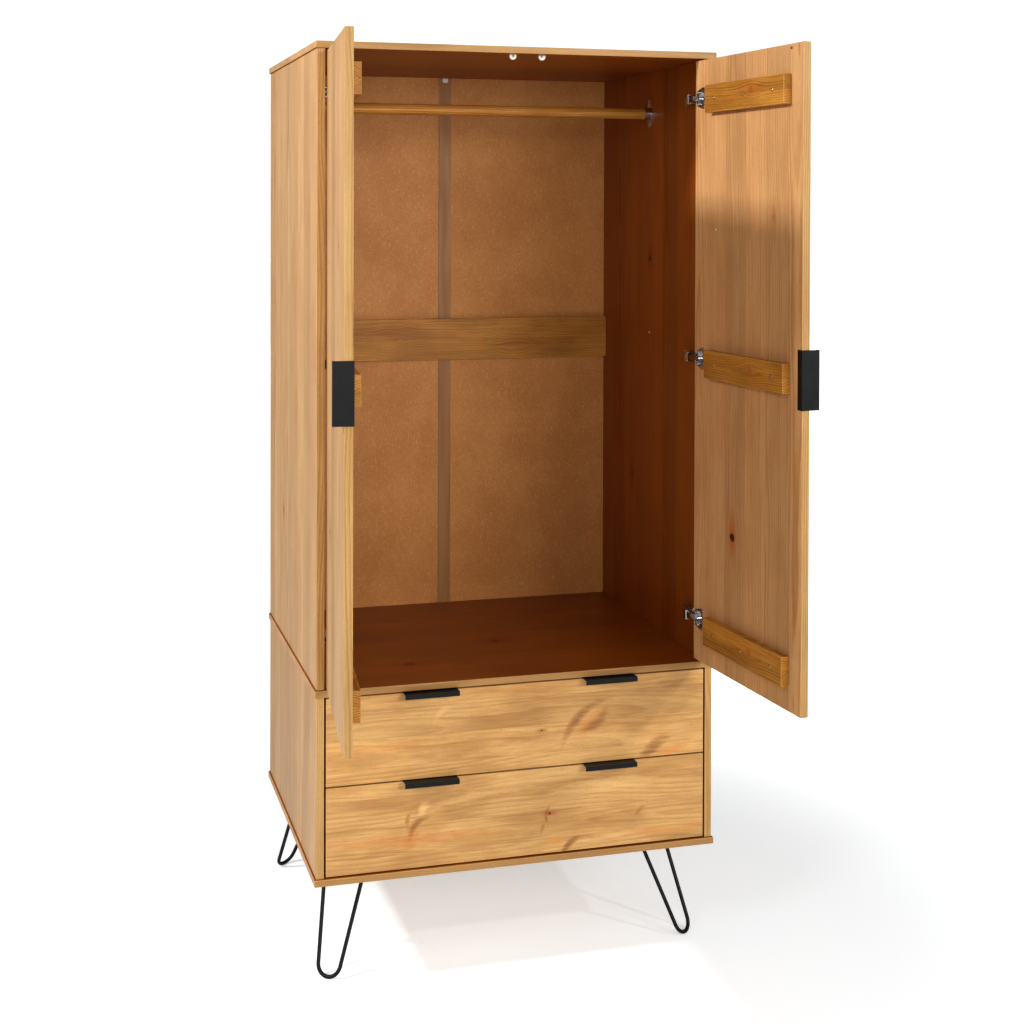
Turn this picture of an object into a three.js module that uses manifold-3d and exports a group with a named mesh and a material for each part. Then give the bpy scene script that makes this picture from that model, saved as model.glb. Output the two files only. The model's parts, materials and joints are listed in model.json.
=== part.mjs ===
// A two-door wardrobe in solid wood over two drawers, standing on four steel hairpin legs.
// Millimetres, +X to the right, +Y to the back, +Z up. The origin is on the floor.
// The model rests with both doors standing open and both drawers shut.

import * as THREE from 'three';
import * as BufferGeometryUtils from 'three/addons/utils/BufferGeometryUtils.js';
import Module from 'manifold-3d';

// ---------------------------------------------------------------- driving dimensions

const width = 850;
const depth = 600;
const legHeight = 212;
const panelThickness = 14;
const sideThickness = 16;
const doorThickness = 16;
const panelLip = 4;
const drawerOpening = 358;
const doorOpening = 1259;
const fitGap = 0.3;

// The panels' front edges, placed so that the origin is under the middle of the model at rest.
const panelFront = -108;

const sideFront = panelFront + panelLip;
const backEdge = panelFront + depth;
const bottomTop = legHeight + panelThickness;
const dividerBottom = bottomTop + drawerOpening;
const dividerTop = dividerBottom + panelThickness;
const topBottom = dividerTop + doorOpening;
const sideOuter = width / 2 - panelLip;
const sideInner = sideOuter - sideThickness;

const back = { thickness: 3, inset: 7, rabbet: 8, edgeGap: 0.5 };
const backFace = backEdge - back.inset - back.thickness;

const rail = { diameter: 24, height: topBottom - 96, behindFront: 304 };
const midRail = { bottom: 1184, height: 97, thickness: 14 };

const leg = {
  rod: 8,
  bendRadius: 24,
  halfWidthAtTop: 46,
  splay: THREE.MathUtils.degToRad(25),
  turn: THREE.MathUtils.degToRad(35),
  plate: { length: 104, width: 36, thickness: 3 },
  insetFromSide: 92.5,
  insetFromFront: 138,
  insetFromBack: 77,
};

const door = {
  topGap: 4,
  hingeGap: 3,
  meetingGap: 2.5,
  openAngle: { left: THREE.MathUtils.degToRad(96.5), right: THREE.MathUtils.degToRad(94.5) },
  pivotFromSide: 9.5,
  pivotBehindFront: 5,
};
door.bottom = dividerTop + door.topGap;
door.height = doorOpening - 2 * door.topGap;
door.width = sideInner - door.hingeGap - door.meetingGap;

const hinge = {
  heights: { bottom: 691, middle: 1234, top: 1774 },
  cupDiameter: 35,
  cupDepth: 11.5,
  cupWall: 1,
  cupFromEdge: 21.5,
  flangeThickness: 1,
  flangeGap: 0.1,
  flange: { near: -12.5, shoulder: 9, far: 16.5, narrowHalf: 16, wideHalf: 22 },
  armHalfHeight: 9.5,
  armSheet: 1.4,
  wing: { thickness: 2, halfHeight: 24, front: 30, rear: 44 },
  base: { thickness: 2.5, halfHeight: 9, front: 30, rear: 76 },
  post: { thickness: 14.4, halfHeight: 5, front: 52, rear: 62 },
};

// Each hinge's link turns about a pin in its arm, a quarter as far as the door and the other way.
// Its places are from the side board's inner face and front edge, with the door shut.
const link = {
  pin: [31.12, 22.59],
  crook: [22.77, 13.79],
  elbow: [12.62, 6.9],
  end: [10, 9.1],
  ratio: 0.25,
  sheet: 0.9,
  halfHeight: 5,
};

const batten = { fromEdge: 68, length: 292, height: 57, thickness: 17 };
batten.heights = { bottom: 678, middle: 1227, top: 1769 };

const handle = { length: 112, sheet: 1.5, flange: 13, reach: 20, lip: 8 };

const drawer = {
  sideGap: 3,
  frontThickness: 16,
  boxThickness: 12,
  boxDepth: 510,
  boxSideGap: 4,
  bottomThickness: 4,
  bottomUp: 8,
  lower: { frontBottom: 229, frontTop: 403.5, boxBottom: 226.5, boxTop: 384 },
  upper: { frontBottom: 406.5, frontTop: 580, boxBottom: 417, boxTop: 560 },
};
const cleat = { width: 22, height: 18, top: 416.5, length: 530, behindFront: 4 };
const drawerHandleX = 190;

const facets = 32;

// ---------------------------------------------------------------- materials

const material = (color, roughness, metalness = 0) =>
  new THREE.MeshStandardMaterial({ color, roughness, metalness });

const materials = {
  carcassWood: material(0xc99258, 0.5),
  doorWood: material(0xd2a066, 0.5),
  drawerWood: material(0xd9a868, 0.45),
  battenWood: material(0xb5854c, 0.55),
  hardboard: material(0xa56e41, 0.75),
  strip: material(0x5c5233, 0.6),
  blackSteel: material(0x17171a, 0.4, 0.6),
  chrome: material(0xc8c8ca, 0.2, 1),
};

// ---------------------------------------------------------------- solids

const wasm = await Module();
wasm.setup();

function toManifold(geometry) {
  const bare = new THREE.BufferGeometry();
  bare.setAttribute('position', geometry.getAttribute('position').clone());
  if (geometry.index) bare.setIndex(geometry.index.clone());
  const merged = BufferGeometryUtils.mergeVertices(bare, 1e-4);
  const mesh = new wasm.Mesh({
    numProp: 3,
    vertProperties: new Float32Array(merged.getAttribute('position').array),
    triVerts: new Uint32Array(merged.index.array),
  });
  return new wasm.Manifold(mesh);
}

function fromManifold(solid) {
  const mesh = solid.getMesh();
  const geometry = new THREE.BufferGeometry();
  geometry.setAttribute('position', new THREE.BufferAttribute(mesh.vertProperties, 3));
  geometry.setIndex(new THREE.BufferAttribute(mesh.triVerts, 1));
  const flat = geometry.toNonIndexed();
  flat.computeVertexNormals();
  return flat;
}

const union = (...geometries) =>
  fromManifold(geometries.map(toManifold).reduce((whole, piece) => whole.add(piece)));

const subtract = (geometry, ...cuts) =>
  fromManifold(cuts.map(toManifold).reduce((rest, cut) => rest.subtract(cut), toManifold(geometry)));

function boxBetween(low, high) {
  const size = high.map((value, i) => value - low[i]);
  const geometry = new THREE.BoxGeometry(...size);
  geometry.translate(...low.map((value, i) => value + size[i] / 2));
  return geometry;
}

function extrudeUp(points, bottom, top) {
  const shape = new THREE.Shape(points.map(([x, y]) => new THREE.Vector2(x, y)));
  const geometry = new THREE.ExtrudeGeometry(shape, { depth: top - bottom, bevelEnabled: false });
  geometry.translate(0, 0, bottom);
  return geometry;
}

function cylinderAlong(axis, diameter, length, centre) {
  const geometry = new THREE.CylinderGeometry(diameter / 2, diameter / 2, length, facets);
  if (axis === 'x') geometry.rotateZ(Math.PI / 2);
  geometry.translate(...centre);
  return geometry;
}

// Swaps left for right, and turns the faces so that the solid stays closed outwards.
function mirrorX(geometry) {
  const copy = geometry.index ? geometry.toNonIndexed() : geometry.clone();
  copy.scale(-1, 1, 1);
  const position = copy.getAttribute('position');
  for (let i = 0; i < position.count; i += 3) {
    const second = new THREE.Vector3().fromBufferAttribute(position, i + 1);
    const third = new THREE.Vector3().fromBufferAttribute(position, i + 2);
    position.setXYZ(i + 1, third.x, third.y, third.z);
    position.setXYZ(i + 2, second.x, second.y, second.z);
  }
  copy.computeVertexNormals();
  return copy;
}

// ---------------------------------------------------------------- scene helpers

const wardrobe = new THREE.Group();

function add(parent, name, geometry, surface) {
  const mesh = new THREE.Mesh(geometry, surface);
  mesh.name = name;
  parent.add(mesh);
  return mesh;
}

// Makes the same piece for the left, as drawn, and for the right, mirrored.
const hands = [
  { name: 'left', sign: -1, flip: (geometry) => geometry },
  { name: 'right', sign: 1, flip: mirrorX },
];

// ---------------------------------------------------------------- carcass

function addPanels() {
  const levels = { bottom: legHeight, divider: dividerBottom, top: topBottom };
  for (const [name, level] of Object.entries(levels)) {
    const low = [-width / 2, panelFront, level];
    const high = [width / 2, backEdge, level + panelThickness];
    add(wardrobe, `${name}_panel`, boxBetween(low, high), materials.carcassWood);
  }
}

// A side board seen from above, with the rabbet for the hardboard along its inner back edge.
function sideOutline() {
  const rabbetX = -sideInner - back.rabbet;
  return [
    [-sideOuter, sideFront],
    [-sideInner, sideFront],
    [-sideInner, backFace],
    [rabbetX, backFace],
    [rabbetX, backEdge],
    [-sideOuter, backEdge],
  ];
}

function addSides() {
  for (const hand of hands) {
    const lower = hand.flip(extrudeUp(sideOutline(), bottomTop, dividerBottom));
    const upper = hand.flip(extrudeUp(sideOutline(), dividerTop, topBottom));
    add(wardrobe, `lower_side_${hand.name}`, lower, materials.carcassWood);
    add(wardrobe, `upper_side_${hand.name}`, upper, materials.carcassWood);
  }
}

// The wardrobe's back is two hardboard sheets in an H-shaped strip; the drawers' back is one sheet.
function addBack() {
  const edge = sideInner + back.rabbet - back.edgeGap;
  const rear = backFace + back.thickness;
  const web = 1;
  const centre = -2;
  const sheets = {
    upper_back_left: [-edge, centre - web, dividerTop, topBottom],
    upper_back_right: [centre + web, edge, dividerTop, topBottom],
    lower_back_panel: [-edge, edge, bottomTop, dividerBottom],
  };
  for (const [name, [left, right, bottom, top]] of Object.entries(sheets)) {
    const sheet = boxBetween([left, backFace, bottom], [right, rear, top]);
    add(wardrobe, name, sheet, materials.hardboard);
  }

  const flange = { halfWidth: 15, thickness: 1.2, clearance: 0.2 };
  const inFront = backFace - flange.clearance;
  const behind = rear + flange.clearance;
  const webHalf = web / 2;
  const outline = [
    [-flange.halfWidth, inFront - flange.thickness],
    [flange.halfWidth, inFront - flange.thickness],
    [flange.halfWidth, inFront],
    [webHalf, inFront],
    [webHalf, behind],
    [flange.halfWidth, behind],
    [flange.halfWidth, behind + flange.thickness],
    [-flange.halfWidth, behind + flange.thickness],
    [-flange.halfWidth, behind],
    [-webHalf, behind],
    [-webHalf, inFront],
    [-flange.halfWidth, inFront],
  ].map(([x, y]) => [x + centre, y]);
  add(wardrobe, 'back_joint_strip', extrudeUp(outline, dividerTop, topBottom), materials.strip);

  const railBack = inFront - flange.thickness - fitGap;
  const low = [-sideInner, railBack - midRail.thickness, midRail.bottom];
  const high = [sideInner, railBack, midRail.bottom + midRail.height];
  add(wardrobe, 'back_mid_rail', boxBetween(low, high), materials.battenWood);
}

// A round rail between two metal sockets, each a cup on an oval plate with a screw above and below.
function addHangingRail() {
  const y = panelFront + rail.behindFront;
  const plate = { thickness: 2, halfWidth: 15, screwOffset: 25, endRadius: 8 };
  const cup = { wall: 2, depth: 14 };
  const railHalf = sideInner - plate.thickness - fitGap;
  const dowel = cylinderAlong('x', rail.diameter, 2 * railHalf, [0, y, rail.height]);
  add(wardrobe, 'hanging_rail', dowel, materials.battenWood);

  const oval = new THREE.Shape();
  oval.absarc(0, plate.screwOffset, plate.endRadius, 0, Math.PI, false);
  oval.absarc(0, 0, plate.halfWidth, Math.PI * 0.85, Math.PI * 1.15, false);
  oval.absarc(0, -plate.screwOffset, plate.endRadius, Math.PI, 2 * Math.PI, false);
  oval.absarc(0, 0, plate.halfWidth, -Math.PI * 0.15, Math.PI * 0.15, false);
  const settings = { depth: plate.thickness, bevelEnabled: false, curveSegments: 12 };
  const base = new THREE.ExtrudeGeometry(oval, settings);
  base.rotateX(Math.PI / 2).rotateZ(Math.PI / 2);
  base.translate(-sideInner, y, rail.height);

  const bore = rail.diameter + 2 * fitGap;
  const length = plate.thickness + cup.depth;
  const middle = -sideInner + length / 2;
  const tube = cylinderAlong('x', bore + 2 * cup.wall, length, [middle, y, rail.height]);
  const hollow = cylinderAlong('x', bore, cup.depth + 2, [middle + plate.thickness / 2 + 1, y, rail.height]);
  const socket = subtract(union(base, tube), hollow);
  for (const hand of hands) {
    add(wardrobe, `rail_socket_${hand.name}`, hand.flip(socket), materials.chrome);
  }
}

// ---------------------------------------------------------------- hairpin legs

// Half of the rod's centre line in the leg's own plane: across in x, down the slope in y.
// A straight run meets the bend at its tangent, and the bend ends in the middle of the foot.
function hairpinPath(length) {
  const centre = new THREE.Vector2(0, length - leg.bendRadius);
  const toTop = new THREE.Vector2(leg.halfWidthAtTop, 0).sub(centre);
  const tangent = toTop.angle() - 2 * Math.PI + Math.acos(leg.bendRadius / toTop.length());
  const bendSteps = 16;
  const path = [[leg.halfWidthAtTop, 0]];
  for (let i = 0; i <= bendSteps; i += 1) {
    const angle = tangent + ((Math.PI - 2 * tangent) * i) / bendSteps;
    path.push([leg.bendRadius * Math.cos(angle), centre.y + leg.bendRadius * Math.sin(angle)]);
  }
  path.push([-leg.halfWidthAtTop, 0]);
  return path;
}

// Rings of points around each point of the path, joined into a closed round rod.
function rodAlong(points, diameter) {
  const ringFacets = 12;
  const planeNormal = points[1].clone().sub(points[0]);
  planeNormal.cross(points[points.length - 1].clone().sub(points[0])).normalize();
  const vertices = [];
  points.forEach((point, i) => {
    const before = points[Math.max(i - 1, 0)];
    const after = points[Math.min(i + 1, points.length - 1)];
    const direction = after.clone().sub(before).normalize();
    const across = direction.clone().cross(planeNormal);
    for (let k = 0; k < ringFacets; k += 1) {
      const angle = (2 * Math.PI * k) / ringFacets;
      const offset = across.clone().multiplyScalar(Math.cos(angle));
      offset.addScaledVector(planeNormal, Math.sin(angle));
      vertices.push(...point.clone().addScaledVector(offset, diameter / 2).toArray());
    }
  });
  const indices = [];
  for (let i = 0; i < points.length - 1; i += 1) {
    for (let k = 0; k < ringFacets; k += 1) {
      const a = i * ringFacets + k;
      const b = i * ringFacets + ((k + 1) % ringFacets);
      indices.push(a, b + ringFacets, b, a, a + ringFacets, b + ringFacets);
    }
  }
  const lastRing = (points.length - 1) * ringFacets;
  for (let k = 1; k < ringFacets - 1; k += 1) {
    indices.push(0, k, k + 1);
    indices.push(lastRing, lastRing + k + 1, lastRing + k);
  }
  const geometry = new THREE.BufferGeometry();
  geometry.setAttribute('position', new THREE.Float32BufferAttribute(vertices, 3));
  geometry.setIndex(indices);
  return geometry;
}

function hairpinLeg() {
  const plateBottom = legHeight - fitGap - leg.plate.thickness;
  const rodTop = plateBottom + leg.plate.thickness / 2;
  const length = (rodTop - leg.rod / 2) / Math.cos(leg.splay);
  const points = hairpinPath(length).map(([across, slope]) => {
    const down = new THREE.Vector3(0, -Math.sin(leg.splay), -Math.cos(leg.splay));
    return down.multiplyScalar(slope).add(new THREE.Vector3(across, 0, rodTop));
  });
  const { length: long, width: wide, thickness } = leg.plate;
  const low = [-long / 2, -wide / 2, plateBottom];
  const high = [long / 2, wide / 2, plateBottom + thickness];
  return union(boxBetween(low, high), rodAlong(points, leg.rod));
}

function addLegs() {
  const geometry = hairpinLeg();
  const places = [
    { name: 'front', turn: leg.turn, y: panelFront + leg.insetFromFront },
    { name: 'rear', turn: Math.PI - leg.turn, y: backEdge - leg.insetFromBack },
  ];
  for (const place of places) {
    for (const hand of hands) {
      const mesh = add(wardrobe, `${place.name}_leg_${hand.name}`, geometry, materials.blackSteel);
      mesh.position.set(hand.sign * (width / 2 - leg.insetFromSide), place.y, 0);
      mesh.rotation.z = hand.sign * place.turn;
    }
  }
}

// ---------------------------------------------------------------- doors and hinges

// A door is drawn shut, in a frame whose origin is its pivot: x towards the other door, y to the
// back. The right door is the left one mirrored. Then it turns open about the pivot.
const hingeEdge = door.hingeGap - door.pivotFromSide;
const doorFront = -door.pivotBehindFront;
const doorBack = doorFront + doorThickness;
const freeEdge = hingeEdge + door.width;
const cupCentre = hingeEdge + hinge.cupFromEdge;

function doorBoard() {
  const low = [hingeEdge, doorFront, door.bottom];
  const high = [freeEdge, doorBack, door.bottom + door.height];
  const boreDepth = hinge.cupDepth + fitGap;
  const bores = Object.values(hinge.heights).map((height) => {
    const centre = [cupCentre, doorBack - boreDepth / 2 + 1, height];
    return cylinderAlong('y', hinge.cupDiameter + 2 * fitGap, boreDepth + 2, centre);
  });
  return subtract(boxBetween(low, high), ...bores);
}

// The hinge's cup is a hollow pot in the door, under a flange that widens away from the edge.
function hingeCup(height) {
  const face = doorBack + hinge.flangeGap;
  const outer = hinge.cupDiameter / 2;
  const inner = outer - hinge.cupWall;
  const bottom = doorBack - hinge.cupDepth;
  const flangeTop = face + hinge.flangeThickness;
  const pot = cylinderAlong('y', 2 * outer, flangeTop - bottom, [cupCentre, (flangeTop + bottom) / 2, height]);
  const { near, shoulder, far, narrowHalf, wideHalf } = hinge.flange;
  const outline = [
    [near, -narrowHalf],
    [shoulder, -wideHalf],
    [far, -wideHalf],
    [far, wideHalf],
    [shoulder, wideHalf],
    [near, narrowHalf],
  ];
  const shape = new THREE.Shape(outline.map(([x, z]) => new THREE.Vector2(cupCentre + x, -z)));
  const settings = { depth: hinge.flangeThickness, bevelEnabled: false };
  const flange = new THREE.ExtrudeGeometry(shape, settings);
  flange.rotateX(-Math.PI / 2).rotateX(Math.PI);
  flange.translate(0, flangeTop, height);
  const floor = bottom + hinge.cupWall;
  const hollowLength = flangeTop - floor + 2;
  const hollow = cylinderAlong('y', 2 * inner, hollowLength, [cupCentre, floor + hollowLength / 2, height]);
  return subtract(union(pot, flange), hollow);
}

// The arm is a channel that opens towards the side board, on a cross plate's wing and base, with a
// post for the screw that holds it down. It is drawn for the left side, with x from the board's
// face and y from the board's front edge.
function hingeArm(height) {
  const outline = [
    [1, 78],
    [1, 43],
    [7, 36],
    [23, 32],
    [25, 29],
    [25, 21],
    [27, 19],
    [31, 19],
    [34, 22],
    [34, 33],
    [31, 38],
    [17, 44],
    [15, 50],
    [15, 76],
    [13, 78],
  ];
  const half = hinge.armHalfHeight;
  const solid = extrudeUp(outline, height - half, height + half);
  const hollowOutline = [
    [-2, 90],
    [-2, 10],
    [32.6, 10],
    [32.6, 32.3],
    [30, 36.8],
    [15.8, 42.9],
    [13.6, 49.4],
    [13.6, 90],
  ];
  const inside = half - hinge.armSheet;
  const hollow = extrudeUp(hollowOutline, height - inside, height + inside);
  const blocks = [hinge.wing, hinge.base, hinge.post].map((block) =>
    boxBetween(
      [0, block.front, height - block.halfHeight],
      [block.thickness, block.rear, height + block.halfHeight],
    ),
  );
  const arm = union(subtract(solid, hollow), ...blocks);
  arm.translate(-sideInner, sideFront, 0);
  return arm;
}

// A bent strip with square ends and mitred corners, seen from above.
function stripOutline(points, thickness) {
  const sideOffsets = points.map((point, i) => {
    const before = points[Math.max(i - 1, 0)];
    const after = points[Math.min(i + 1, points.length - 1)];
    const arriving = point.clone().sub(i > 0 ? before : point).normalize();
    const leaving = after.clone().sub(i < points.length - 1 ? point : after).normalize();
    const along = arriving.add(leaving).normalize();
    const run = (i > 0 ? point.clone().sub(before) : after.clone().sub(point)).normalize();
    const mitre = thickness / 2 / Math.abs(run.dot(along));
    return new THREE.Vector2(-along.y, along.x).multiplyScalar(mitre);
  });
  const left = points.map((point, i) => point.clone().add(sideOffsets[i]));
  const right = points.map((point, i) => point.clone().sub(sideOffsets[i]));
  return [...left, ...right.reverse()].map((point) => point.toArray());
}

// The link is drawn about its own pin, for the left side and with the door shut.
function hingeLink(height) {
  const pin = new THREE.Vector2(...link.pin);
  const places = [link.pin, link.crook, link.elbow, link.end];
  const points = places.map((place) => new THREE.Vector2(...place).sub(pin));
  const outline = stripOutline(points, link.sheet);
  return extrudeUp(outline, height - link.halfHeight, height + link.halfHeight);
}

// A thin plate folded round the door's free edge. It is drawn in the door's frame, seen from
// above: a flange on the inner face, the edge, a stretch to grip, and a lip turned back.
function handleOutline(edge, inner, outer) {
  const { sheet, flange, reach, lip } = handle;
  const near = edge + fitGap;
  const far = near + sheet;
  const onFace = inner + fitGap;
  const tip = outer - reach;
  return [
    [near - flange, onFace],
    [near, onFace],
    [near, tip + sheet],
    [near - lip, tip + sheet],
    [near - lip, tip],
    [far, tip],
    [far, onFace + sheet],
    [near - flange, onFace + sheet],
  ];
}

function addDoors() {
  const middle = door.bottom + door.height / 2;
  const board = doorBoard();
  const grip = extrudeUp(
    handleOutline(freeEdge, doorBack, doorFront),
    middle - handle.length / 2,
    middle + handle.length / 2,
  );
  for (const hand of hands) {
    const leaf = new THREE.Group();
    leaf.position.x = hand.sign * (sideInner - door.pivotFromSide);
    leaf.position.y = sideFront + door.pivotBehindFront;
    leaf.rotation.z = hand.sign * door.openAngle[hand.name];
    wardrobe.add(leaf);
    add(leaf, `${hand.name}_door`, hand.flip(board), materials.doorWood);
    add(leaf, `${hand.name}_door_handle`, hand.flip(grip), materials.blackSteel);
    for (const [level, height] of Object.entries(batten.heights)) {
      const start = hingeEdge + batten.fromEdge;
      const low = [start, doorBack + fitGap, height - batten.height / 2];
      const high = [start + batten.length, low[1] + batten.thickness, height + batten.height / 2];
      const bar = hand.flip(boxBetween(low, high));
      add(leaf, `${hand.name}_door_batten_${level}`, bar, materials.battenWood);
    }
    const swing = add(
      wardrobe,
      `${hand.name}_hinge_link_middle`,
      hand.flip(hingeLink(hinge.heights.middle)),
      materials.chrome,
    );
    swing.position.x = hand.sign * (sideInner - link.pin[0]);
    swing.position.y = sideFront + link.pin[1];
    swing.rotation.z = -hand.sign * link.ratio * door.openAngle[hand.name];
    for (const [level, height] of Object.entries(hinge.heights)) {
      add(leaf, `${hand.name}_hinge_cup_${level}`, hand.flip(hingeCup(height)), materials.chrome);
      add(wardrobe, `${hand.name}_hinge_arm_${level}`, hand.flip(hingeArm(height)), materials.chrome);
    }
  }
}

// ---------------------------------------------------------------- drawers

// A drawer's handle is the doors' folded plate, over the top edge of the front.
function drawerHandle(frontTop, centreX) {
  const outline = handleOutline(frontTop, sideFront + drawer.frontThickness, sideFront);
  const shape = new THREE.Shape(outline.map(([z, y]) => new THREE.Vector2(y, z)));
  const settings = { depth: handle.length, bevelEnabled: false };
  const plate = new THREE.ExtrudeGeometry(shape, settings);
  plate.rotateX(Math.PI / 2).rotateZ(Math.PI / 2);
  plate.translate(centreX - handle.length / 2, 0, 0);
  return plate;
}

function addDrawer(name, levels) {
  const group = new THREE.Group();
  wardrobe.add(group);
  const frontHalf = sideInner - drawer.sideGap;
  const boxHalf = sideInner - drawer.boxSideGap;
  const inside = boxHalf - drawer.boxThickness;
  const frontBack = sideFront + drawer.frontThickness;
  const boxBack = frontBack + drawer.boxDepth;
  const { frontBottom, frontTop, boxBottom, boxTop } = levels;
  const floor = boxBottom + drawer.bottomUp;

  const front = boxBetween([-frontHalf, sideFront, frontBottom], [frontHalf, frontBack, frontTop]);
  add(group, `${name}_drawer_front`, front, materials.drawerWood);
  for (const hand of hands) {
    const side = boxBetween([-boxHalf, frontBack, boxBottom], [-inside, boxBack, boxTop]);
    add(group, `${name}_drawer_side_${hand.name}`, hand.flip(side), materials.battenWood);
  }
  const backBoard = boxBetween([-inside, boxBack - drawer.boxThickness, boxBottom], [inside, boxBack, boxTop]);
  add(group, `${name}_drawer_back`, backBoard, materials.battenWood);
  const low = [-inside, frontBack, floor];
  const high = [inside, boxBack - drawer.boxThickness, floor + drawer.bottomThickness];
  add(group, `${name}_drawer_bottom`, boxBetween(low, high), materials.hardboard);
  for (const hand of hands) {
    const plate = drawerHandle(frontTop, hand.sign * drawerHandleX);
    add(group, `${name}_drawer_handle_${hand.name}`, plate, materials.blackSteel);
  }
}

function addDrawers() {
  addDrawer('lower', drawer.lower);
  addDrawer('upper', drawer.upper);
  for (const hand of hands) {
    const start = sideFront + drawer.frontThickness + cleat.behindFront;
    const low = [-sideInner, start, cleat.top - cleat.height];
    const high = [-sideInner + cleat.width, start + cleat.length, cleat.top];
    add(wardrobe, `drawer_cleat_${hand.name}`, hand.flip(boxBetween(low, high)), materials.battenWood);
  }
}

addPanels();
addSides();
addBack();
addHangingRail();
addLegs();
addDoors();
addDrawers();

export default wardrobe;
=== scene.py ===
"""The looks of a two-door solid-wood wardrobe with two drawers, on hairpin legs."""

import json
import math

import bmesh
import bpy
from mathutils import Matrix, Vector


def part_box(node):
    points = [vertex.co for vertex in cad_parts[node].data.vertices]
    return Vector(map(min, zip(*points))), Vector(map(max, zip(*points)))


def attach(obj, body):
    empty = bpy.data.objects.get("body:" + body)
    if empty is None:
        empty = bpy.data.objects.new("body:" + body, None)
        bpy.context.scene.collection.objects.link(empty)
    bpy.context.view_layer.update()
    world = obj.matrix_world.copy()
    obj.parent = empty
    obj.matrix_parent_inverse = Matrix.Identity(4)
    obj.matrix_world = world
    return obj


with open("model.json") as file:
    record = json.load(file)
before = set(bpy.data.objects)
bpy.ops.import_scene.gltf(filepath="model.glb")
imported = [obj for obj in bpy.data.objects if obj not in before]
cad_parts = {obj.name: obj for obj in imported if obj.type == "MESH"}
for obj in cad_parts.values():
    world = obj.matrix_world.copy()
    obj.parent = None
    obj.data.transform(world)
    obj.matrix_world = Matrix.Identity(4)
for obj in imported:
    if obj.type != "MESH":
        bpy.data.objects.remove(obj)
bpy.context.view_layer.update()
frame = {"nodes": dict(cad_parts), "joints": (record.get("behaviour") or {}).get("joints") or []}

nodes = frame["nodes"]
joints = {joint["name"]: joint for joint in frame["joints"]}

MM = 0.001
X, Y, Z = Vector((1, 0, 0)), Vector((0, 1, 0)), Vector((0, 0, 1))
HANDS = {"left": -1, "right": 1}
LEVELS = ("bottom", "middle", "top")


# ---------------------------------------------------------------- shader trees

class Tree:
    """Adds shader nodes to a node tree. A socket given as a value is linked, a number is set."""

    def __init__(self, tree):
        self.tree = tree

    def add(self, kind, inputs=None, **settings):
        node = self.tree.nodes.new(kind)
        for name, value in settings.items():
            setattr(node, name, value)
        for key, value in (inputs or {}).items():
            self.feed(node.inputs[key], value)
        return node

    def feed(self, socket, value):
        if isinstance(value, bpy.types.NodeSocket):
            self.tree.links.new(value, socket)
        else:
            socket.default_value = value

    def math(self, operation, *values, clamp=False):
        node = self.add("ShaderNodeMath", dict(enumerate(values)), operation=operation)
        node.use_clamp = clamp
        return node.outputs[0]

    def vector(self, operation, *values):
        inputs = dict(enumerate(values))
        node = self.add("ShaderNodeVectorMath", inputs, operation=operation)
        return node.outputs["Value" if operation in ("DOT_PRODUCT", "LENGTH") else "Vector"]

    def dot(self, vector, direction):
        return self.vector("DOT_PRODUCT", vector, tuple(direction))

    def scaled(self, vector, x, y, z):
        return self.vector("MULTIPLY", vector, (x, y, z))

    def combine(self, x, y, z):
        node = self.add("ShaderNodeCombineXYZ", {"X": x, "Y": y, "Z": z})
        return node.outputs[0]

    def split(self, vector):
        return self.add("ShaderNodeSeparateXYZ", {0: vector}).outputs

    def noise(self, vector, scale=1.0, detail=2.0, roughness=0.5, w=None):
        inputs = {"Vector": vector, "Scale": scale, "Detail": detail, "Roughness": roughness}
        if w is not None:
            inputs["W"] = w
        dimensions = "3D" if w is None else "4D"
        node = self.add("ShaderNodeTexNoise", inputs, noise_dimensions=dimensions)
        return node.outputs["Fac"]

    def ramp(self, value, low, high, smooth=True, out=(0.0, 1.0)):
        inputs = {0: value, 1: low, 2: high, 3: out[0], 4: out[1]}
        kind = "SMOOTHSTEP" if smooth else "LINEAR"
        node = self.add("ShaderNodeMapRange", inputs, interpolation_type=kind)
        return node.outputs[0]

    def mix(self, factor, a, b, blend="MIX"):
        node = self.add("ShaderNodeMix", data_type="RGBA", blend_type=blend)
        self.feed(node.inputs[0], factor)
        self.feed(node.inputs[6], a)
        self.feed(node.inputs[7], b)
        return node.outputs[2]

    def random(self, w):
        """Three random numbers, from 0 to 1, that go with a number."""
        node = self.add("ShaderNodeTexWhiteNoise", {"W": w}, noise_dimensions="1D")
        return self.split(node.outputs["Color"])


def srgb(red, green, blue):
    """A colour written as on a screen, from 0 to 255, as the linear colour that a shader takes."""
    channels = [channel / 255 for channel in (red, green, blue)]
    linear = [c / 12.92 if c <= 0.04045 else ((c + 0.055) / 1.055) ** 2.4 for c in channels]
    return (*linear, 1.0)


def new_group(name, inputs, outputs):
    """A node group with typed inputs and outputs. Returns it with its builder and its sockets."""
    group = bpy.data.node_groups.new(name, "ShaderNodeTree")
    for label, (kind, default) in inputs.items():
        socket = group.interface.new_socket(label, in_out="INPUT", socket_type=kind)
        socket.default_value = default
    for label, kind in outputs.items():
        group.interface.new_socket(label, in_out="OUTPUT", socket_type=kind)
    start = group.nodes.new("NodeGroupInput")
    end = group.nodes.new("NodeGroupOutput")
    return group, Tree(group), start.outputs, end.inputs


FLOAT, VECTOR = "NodeSocketFloat", "NodeSocketVector"


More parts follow.
